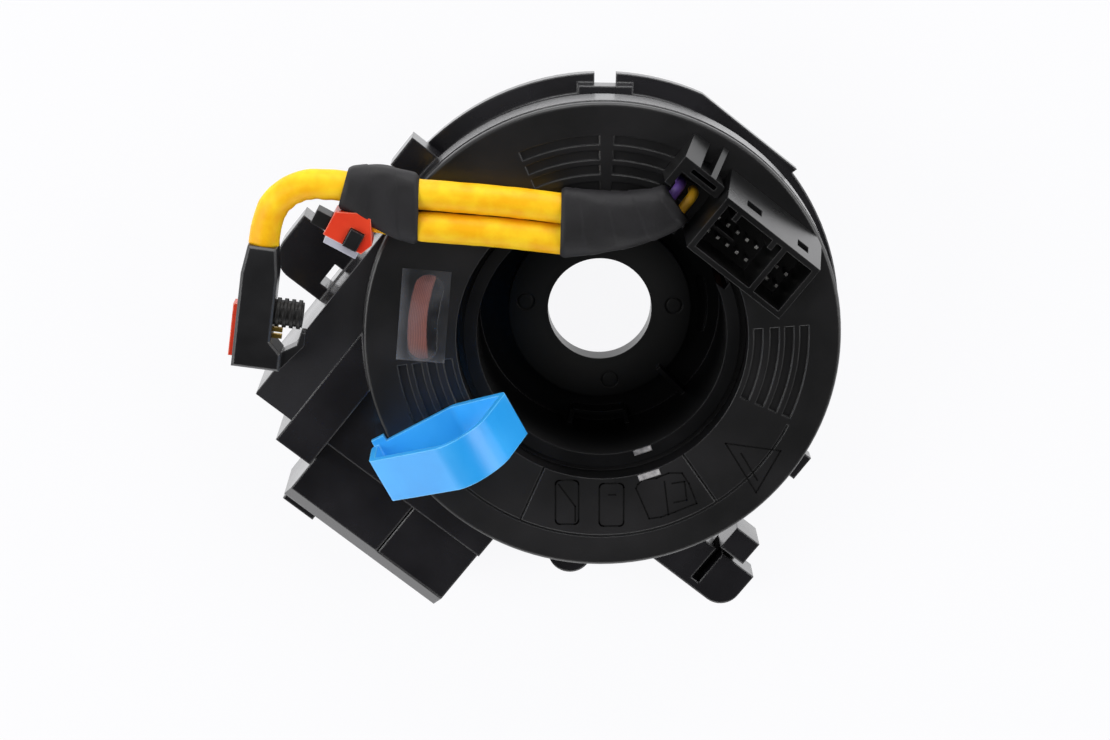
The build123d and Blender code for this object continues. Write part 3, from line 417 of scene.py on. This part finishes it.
FINISHES = {
    "stator_case": CASE_BLACK, "back_cover": CASE_BLACK, "side_cover": COVER_BLACK,
    "vehicle_connector": CASE_BLACK, "connector_cap": CASE_BLACK, "vehicle_pins": PIN_SHADE_AND_HIGHLIGHT,
    "flat_cable_coil": CABLE_SALMON, "rotor_cover": ROTOR_BLACK, "rotor_hub": HUB_BLACK,
    "window_label": LABEL_FILM, "switch_connector": CONNECTOR_BLACK, "switch_pins": PIN_SHADE_AND_HIGHLIGHT,
    "horn_pins": PIN_SHADE_AND_HIGHLIGHT, "cable_guide": CONNECTOR_BLACK, "signal_wire_violet": WIRE_VIOLET,
    "signal_wire_yellow": WIRE_YELLOW, "plug_1_body": PLUG_BLACK, "plug_1_nose": NOSE_BLACK,
    "plug_1_contacts": CONTACT_BRASS, "plug_1_lock": CLIP_ORANGE, "plug_2_body": CLIP_ORANGE,
    "plug_2_nose": NOSE_BLACK, "plug_2_plate": PLATE_PALE, "plug_2_lock": PLUG_BLACK,
    "transit_lock": LOCK_BLUE,
}


def dress_nodes():
    """Give each solid that is shown as it is its finish."""
    for name, finish in FINISHES.items():
        materials = NODES[name].data.materials
        materials.clear()
        materials.append(finish)


dress_nodes()


# ---- mesh helpers -----------------------------------------------------------------------------------
def add_piece(name, corners, faces, finish, slot, smooth=True):
    """Mesh piece on the rotor from corners in mm."""
    mesh = bpy.data.meshes.new(name)
    mesh.from_pydata([Vector(corner) * MM for corner in corners], [], faces)
    mesh.validate()
    mesh.materials.append(finish)
    if smooth:
        mesh.shade_smooth()
    else:
        mesh.shade_flat()
    piece = bpy.data.objects.new(name, mesh)
    bpy.context.collection.objects.link(piece)
    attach(piece, "rotor")
    return piece


def loft_rings(rings):
    """Corners and faces of a closed skin over rings of the same count, with flat ends."""
    count = len(rings[0])
    corners = [corner for ring in rings for corner in ring]
    faces = [tuple(range(count))[::-1], tuple(range(len(corners) - count, len(corners)))]
    for row in range(len(rings) - 1):
        low, high = row * count, (row + 1) * count
        for step in range(count):
            after = (step + 1) % count
            faces.append((low + step, low + after, high + after, high + step))
    return corners, faces


CURVE_STEPS = 24             # points to each stretch of a smooth curve
CURVE_ORDER = 3


def smooth_line(route):
    """Points in mm along the smooth curve that a route of control points gives."""
    curve = bpy.data.curves.new("route", "CURVE")
    curve.dimensions = "3D"
    curve.resolution_u = CURVE_STEPS
    spline = curve.splines.new("NURBS")
    spline.points.add(len(route) - 1)
    for point, place in zip(spline.points, route):
        point.co = (place[0] * MM, place[1] * MM, place[2] * MM, 1.0)
    spline.order_u = CURVE_ORDER
    spline.use_endpoint_u = True
    holder = bpy.data.objects.new("route", curve)
    mesh = bpy.data.meshes.new_from_object(holder)
    line = [vertex.co / MM for vertex in mesh.vertices]
    bpy.data.objects.remove(holder)
    bpy.data.curves.remove(curve)
    bpy.data.meshes.remove(mesh)
    return line


def even_stations(line, spacing):
    """Stations along a line: distance from its start, place and direction, evenly spaced."""
    reach = [0.0]
    for before, after in zip(line, line[1:]):
        reach.append(reach[-1] + (after - before).length)
    count = round(reach[-1] / spacing)
    distances = [reach[-1] * index / count for index in range(count + 1)]
    places = []
    leg = 0
    for distance in distances:
        while leg < len(line) - 2 and reach[leg + 1] < distance:
            leg += 1
        share = (distance - reach[leg]) / (reach[leg + 1] - reach[leg])
        places.append(line[leg].lerp(line[leg + 1], share))
    headings = []
    for index in range(count + 1):
        run = places[min(index + 1, count)] - places[max(index - 1, 0)]
        headings.append(run.normalized())
    return list(zip(distances, places, headings))


# ---- airbag leads -----------------------------------------------------------------------------------
TUBE_D = 6.8
TUBE_Z = 38.7                # height of the leads' middle line
TUBE_END_Z = 36.6
TUBE_A_ROUTE = [(-20.6, 22.4, TUBE_Z), (-34.0, 14.5, TUBE_Z), (-48.9, 4.7, TUBE_Z),
                (-59.8, -2.7, TUBE_Z), (-68.4, -7.6, TUBE_Z), (-74.9, -12.5, TUBE_Z - 0.5),
                (-77.2, -19.3, TUBE_Z - 1.3), (-75.5, -25.3, TUBE_END_Z),
                (-73.3, -29.0, TUBE_END_Z)]
TUBE_B_ROUTE = [(-16.9, 16.6, TUBE_Z), (-30.2, 8.6, TUBE_Z), (-44.8, -1.2, TUBE_Z),
                (-51.6, -5.9, TUBE_Z), (-57.0, -10.4, TUBE_Z)]
TUBE_SPACING = 0.5           # between rings of corners along a tube
RING_POINTS = 40
TUBE_FLAT = 0.05             # share by which the tube is lower than it is wide
TUBE_DENT = 0.09
DENT_SIZE = 0.35             # dents to the mm
DENT_READ = 3                # distance from the middle line at which they are read
CREASE_SPAN = (52.0, 79.0)   # along tube A, where its bend starts and ends
CREASE_PITCH = 3.4
CREASE_DEPTH = 0.16
CREASE_FADE = 1.5            # how fast the creases fade out round the tube
SQUEEZE = 0.6                # share by which the tape narrows a hidden end
TUBE_B_SQUEEZED = (6.0, 11.0)


def crease_depth(distance, span, inward):
    """Depth of the folds inside a bend; inward is 1 inside the bend and 0 at its sides."""
    if not span[0] < distance < span[1]:
        return 0.0
    fade = sin(pi * (distance - span[0]) / (span[1] - span[0]))
    fold = 0.5 + 0.5 * cos(2 * pi * distance / CREASE_PITCH)
    return CREASE_DEPTH * fade * inward ** CREASE_FADE * fold


def make_lead(name, route, crease_span=(0.0, 0.0), squeezed=(0.0, 0.0)):
    """Sleeved tube on a smooth line, a little oval and dented, with creases inside its bend.

    squeezed gives the lengths at its start and end that the tape presses narrower."""
    line = smooth_line(route)
    stations = even_stations(line, TUBE_SPACING)
    full = stations[-1][0]
    rings = []
    for distance, place, heading in stations:
        narrow = 0.0
        for span, inward in zip(squeezed, (distance, full - distance)):
            if span:
                narrow = max(narrow, 1 - inward / span)
        side = heading.cross(UP).normalized()
        above = side.cross(heading)
        ring = []
        for step in range(RING_POINTS):
            angle = 2 * pi * step / RING_POINTS
            bearing = side * cos(angle) + above * sin(angle) * (1 - TUBE_FLAT)
            radius = TUBE_D / 2 * (1 - SQUEEZE * narrow)
            radius += TUBE_DENT * noise.noise((place + bearing * DENT_READ) * DENT_SIZE)
            radius -= crease_depth(distance, crease_span, max(0.0, -cos(angle)))
            ring.append(place + bearing * radius)
        rings.append(ring)
    lead = add_piece(name, *loft_rings(rings), TUBE_YELLOW, "tube_yellow")
    return lead, [point * MM for point in line]


# ---- tape sleeves -----------------------------------------------------------------------------------
# Each sleeve at its start, middle and end: places, widths and heights in mm, leans in degrees.
SLEEVE_1 = {"places": ((-51.2, -1.1), (-58.1, -3.6), (-67.4, -7.1)),
            "widths": (15.6, 14.4, 9.4), "heights": (8.8, 8.6, 8.1), "leans": (17, 9, 2)}
SLEEVE_2 = {"places": ((-24.9, 16.2), (-13.2, 26.6), (-7.6, 35.6)),
            "widths": (16.2, 13.0, 9.6), "heights": (9.0, 9.4, 9.0), "leans": (0, 0, 0)}
SLEEVE_ROWS = 90
SLEEVE_POINTS = 72
SQUARENESS = 2.6             # of its section, between an oval at 2 and a box
TAPE_STEP = 0.14             # how far each lap of tape stands above the last
TAPE_LAP = 6.5               # between the laps
WRINKLE_DEPTH = 0.28
WRINKLE_ALONG = 0.22         # wrinkles to the mm along the sleeve
WRINKLE_ROUND = 1.6
SLEEVE_ROLL = 1.2            # length over which the sleeve's ends close in
SLEEVE_CLOSE = 0.1           # and the share by which they do


def at_share(values, share):
    """Value at a share of the way through three, along a parabola."""
    first, middle, last = values
    return (first * (1 - share) * (1 - 2 * share) + middle * 4 * share * (1 - share)
            + last * share * (2 * share - 1))


def squared(value):
    """Cosine or sine of a squared oval's angle."""
    return copysign(abs(value) ** (2 / SQUARENESS), value)


def make_tape_sleeve(name, node, sizes, seed):
    """Wrapped tape over the leads: overlapping laps, soft wrinkles and closed-in ends."""
    across, along = zip(*sizes["places"])
    shares = [row / SLEEVE_ROWS for row in range(SLEEVE_ROWS + 1)]
    line = [Vector((at_share(across, share), at_share(along, share), TUBE_Z)) for share in shares]
    length = sum((after - before).length for before, after in zip(line, line[1:]))
    rings = []
    for distance, place, heading in even_stations(line, length / SLEEVE_ROWS):
        share = distance / length
        lean = Matrix.Rotation(radians(at_share(sizes["leans"], share)), 3, "Z")
        side = lean @ heading.cross(UP).normalized()
        to_end = min(distance, length - distance)
        close = 1 - SLEEVE_CLOSE * max(0.0, 1 - to_end / SLEEVE_ROLL) ** 2
        half_w = at_share(sizes["widths"], share) / 2 * close
        half_h = at_share(sizes["heights"], share) / 2 * close
        ring = []
        for step in range(SLEEVE_POINTS):
            angle = 2 * pi * step / SLEEVE_POINTS
            c, s = cos(angle), sin(angle)
            lap = (distance / TAPE_LAP + angle / (2 * pi)) % 1.0
            wave = noise.noise(Vector((distance * WRINKLE_ALONG, c * WRINKLE_ROUND,
                                       s * WRINKLE_ROUND + seed)))
            swell = TAPE_STEP * (0.5 - lap) + WRINKLE_DEPTH * wave
            ring.append(place + side * squared(c) * (half_w + swell) + UP * squared(s) * (half_h + swell))
        rings.append(ring)
    sleeve = add_piece(name, *loft_rings(rings), TAPE_BLACK, "tape_black")
    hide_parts(node)
    return sleeve


sleeve_1 = make_tape_sleeve("tape_sleeve_1", "lead_sleeve_1", SLEEVE_1, 3.0)
sleeve_2 = make_tape_sleeve("tape_sleeve_2", "lead_sleeve_2", SLEEVE_2, 11.0)

lead_a, path_a = make_lead("lead_tube_a", TUBE_A_ROUTE, crease_span=CREASE_SPAN)
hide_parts("airbag_tube_a")
lead_b, path_b = make_lead("lead_tube_b", TUBE_B_ROUTE, squeezed=TUBE_B_SQUEEZED)
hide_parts("airbag_tube_b")


# ---- marks on the rotor -----------------------------------------------------------------------------
STROKE_W = 0.34
STROKE_H = 0.05              # the strokes stand this far above the face
SIGN_CORNER = 1.0            # radius of a framed sign's corners
CORNER_STEPS = 4
SIGN_TURN = CAMERA_ROLL      # the signs stand upright in the view
PAINT_T = 0.06               # the paint stands this far above its surface
ALIGN_MARKS = (              # radius, angle, height, length and width of each painted dash
    (29.1, -32.4, RING_Z, 4.3, 1.3),
    (33.9, -32.7, FACE_Z, 5.2, 1.5),
)
STROKE_SIDES = ((0, 1, 3, 2), (4, 6, 7, 5), (0, 4, 5, 1), (2, 3, 7, 6), (1, 5, 7, 3), (0, 2, 6, 4))


def stroke(points, width, z0, z1):
    """Corners and faces of a thin straight-sided ridge along a line of flat points."""
    corners, faces = [], []
    for before, after in zip(points, points[1:]):
        run = (after - before).normalized() * width / 2
        side = Vector((-run.y, run.x))
        first = len(corners)
        for end in (before - run, after + run):
            for edge in (side, -side):
                for z in (z0, z1):
                    corners.append((*(end + edge), z))
        for quad in STROKE_SIDES:
            faces.append(tuple(first + corner for corner in quad))
    return corners, faces


def rounded_frame(width, height):
    """Closed outline of a rounded rectangle about its centre."""
    points = []
    for turn, (x, y) in enumerate(((1, 1), (-1, 1), (-1, -1), (1, -1))):
        for step in range(CORNER_STEPS + 1):
            angle = (turn + step / CORNER_STEPS) * pi / 2
            points.append((x * (width / 2 - SIGN_CORNER) + SIGN_CORNER * cos(angle),
                           y * (height / 2 - SIGN_CORNER) + SIGN_CORNER * sin(angle)))
    return points + points[:1]


PANEL_SIGNS = (              # radius and angle of each sign, and its lines as it stands upright
    (39.5, -63.0, (rounded_frame(5.3, 10.6), [(-1.9, 4.3), (1.9, -1.0)], [(1.9, -1.0), (1.9, -4.6)])),
    (39.4, -48.1, (rounded_frame(5.6, 10.3), [(-0.6, 2.4), (0.9, 2.4)])),
    (39.9, -29.5, ([(-7.0, 1.6), (-6.6, 2.6), (-5.5, 3.7), (-2.3, 4.1), (0.4, 5.3), (3.5, 5.3),
                    (5.1, 2.8), (7.0, -2.0), (2.0, -4.1), (-1.2, -5.3), (-3.9, -5.7), (-7.0, 1.6)],
                   [(-0.5, 3.3), (0.5, -4.7)],
                   [(1.3, 2.8), (4.1, 3.3), (4.7, -1.2), (1.8, -1.8)])),
    (45.6, -2.3, ([(-6.2, 5.2), (6.4, 3.4), (1.0, -6.6), (-6.2, 5.2)], [(-2.6, 2.8), (1.2, -3.6)])),
)


def make_panel_sign(name, radius, angle, lines):
    """Shallow moulded sign on the face, drawn in its own upright frame."""
    centre = around_axis(radius, angle)
    turn = Matrix.Rotation(SIGN_TURN, 2)
    corners, faces = [], []
    for line in lines:
        placed = [centre + turn @ Vector(point) for point in line]
        more_corners, more_faces = stroke(placed, STROKE_W, FACE_Z - STROKE_H, FACE_Z + STROKE_H)
        faces += [tuple(len(corners) + corner for corner in face) for face in more_faces]
        corners += more_corners
    add_piece(name, corners, faces, MARK_BLACK, "rotor_black", smooth=False)


def make_align_mark(name, radius, angle, z, length, width):
    """Painted dash that lies across a radius."""
    centre = around_axis(radius, angle)
    run = Vector((-centre.y, centre.x)).normalized() * (length - width) / 2
    mark = stroke([centre - run, centre + run], width, z - PAINT_T, z + PAINT_T)
    add_piece(name, *mark, PAINT_WHITE, "plate_pale", smooth=False)


def make_marks():
    """Four generic signs on the lower panel and two painted alignment dashes."""
    for number, sign in enumerate(PANEL_SIGNS, start=1):
        make_panel_sign("panel_sign_" + str(number), *sign)
    for number, mark in enumerate(ALIGN_MARKS, start=1):
        make_align_mark("align_mark_" + str(number), *mark)


make_marks()


# ---- floor, light and world -------------------------------------------------------------------------
BACKDROP = (0.985, 0.985, 1.0, 1)
FLOOR_HALF = 3.0             # half the table's side, metres
FLOOR_WHITE = (0.9, 0.9, 0.9, 1)
FLOOR_ROUGH = 0.8
FLOOR_GLOW = 0.93            # share of the floor that is shown as plain backdrop, the rest takes shadow
FLOOR_MIRRORED = 1.5         # the white table is overexposed, which its reflections show
HORIZON = 1.3                # strength of the studio's pale walls and of its dark ceiling
ZENITH = 0.03
WALL_FADE = (0.05, 0.5)      # height of a direction where the walls start to darken and are dark
LAMP_DISTANCE = 0.9
LAMPS = (                    # name, bearing in the view and height in degrees, size in metres, watts
    ("light_top", 88, 14, 0.8, 7.0),
    ("light_above", 120, 64, 0.5, 0.5),
    ("light_left", 178, 36, 0.6, 4.6),
    ("light_right", 10, 36, 0.6, 3.8),
    ("light_low", -90, 26, 0.6, 2.6),
)


def add_seen_rays(tree):
    """Mask of the rays that show the backdrop: camera, glossy and transmission."""
    rays = tree.nodes.new("ShaderNodeLightPath").outputs
    solid = add_maths(tree, "MAXIMUM", rays["Is Camera Ray"], rays["Is Glossy Ray"])
    return add_maths(tree, "MAXIMUM", solid, rays["Is Transmission Ray"])


def make_floor():
    """White table under the object, shown near white with a soft shadow."""
    mesh = bpy.data.meshes.new("floor")
    corners = [(x * FLOOR_HALF, y * FLOOR_HALF, 0) for x, y in ((-1, -1), (1, -1), (1, 1), (-1, 1))]
    mesh.from_pydata(corners, [], [(0, 1, 2, 3)])
    floor = bpy.data.objects.new("floor", mesh)
    bpy.context.collection.objects.link(floor)
    material, tree, shader = start_material("floor_white")
    shader.inputs["Base Color"].default_value = FLOOR_WHITE
    shader.inputs["Roughness"].default_value = FLOOR_ROUGH
    glow = tree.nodes.new("ShaderNodeEmission")
    glow.inputs["Color"].default_value = BACKDROP
    mirrored = tree.nodes.new("ShaderNodeLightPath").outputs["Is Glossy Ray"]
    strength = add_range(tree, mirrored, 0.0, 1.0, 1.0, FLOOR_MIRRORED)
    tree.links.new(strength.outputs["Result"], glow.inputs["Strength"])
    mix = tree.nodes.new("ShaderNodeMixShader")
    tree.links.new(add_maths(tree, "MULTIPLY", add_seen_rays(tree), FLOOR_GLOW), mix.inputs["Fac"])
    tree.links.new(shader.outputs["BSDF"], mix.inputs[1])
    tree.links.new(glow.outputs["Emission"], mix.inputs[2])
    tree.links.new(mix.outputs["Shader"], tree.nodes["Material Output"].inputs["Surface"])
    mesh.materials.append(material)


def make_world():
    """Studio round the table, with pale walls and a dark ceiling."""
    world = bpy.data.worlds.new("studio")
    world.use_nodes = True
    bpy.context.scene.world = world
    tree = world.node_tree
    room = tree.nodes["Background"]
    room.inputs["Color"].default_value = (1, 1, 1, 1)
    place = tree.nodes.new("ShaderNodeTexCoord")
    split = tree.nodes.new("ShaderNodeSeparateXYZ")
    tree.links.new(place.outputs["Generated"], split.inputs["Vector"])
    fade = add_range(tree, split.outputs["Z"], *WALL_FADE, HORIZON, ZENITH)
    fade.interpolation_type = "SMOOTHSTEP"
    tree.links.new(fade.outputs["Result"], room.inputs["Strength"])


def make_soft_box(name, bearing, height, size, power):
    """Square soft light aimed at the object, by its bearing in the view and its height."""
    data = bpy.data.lights.new(name, "AREA")
    data.shape = "SQUARE"
    data.size = size
    data.energy = power
    light = bpy.data.objects.new(name, data)
    bpy.context.collection.objects.link(light)
    turn = radians(bearing) + CAMERA_ROLL
    rise = radians(height)
    toward = Vector((cos(turn) * cos(rise), sin(turn) * cos(rise), sin(rise)))
    light.location = toward * LAMP_DISTANCE
    light.rotation_euler = toward.to_track_quat("Z", "Y").to_euler()


make_floor()
make_world()
for lamp in LAMPS:
    make_soft_box(*lamp)
bpy.context.scene.view_settings.view_transform = "Standard"
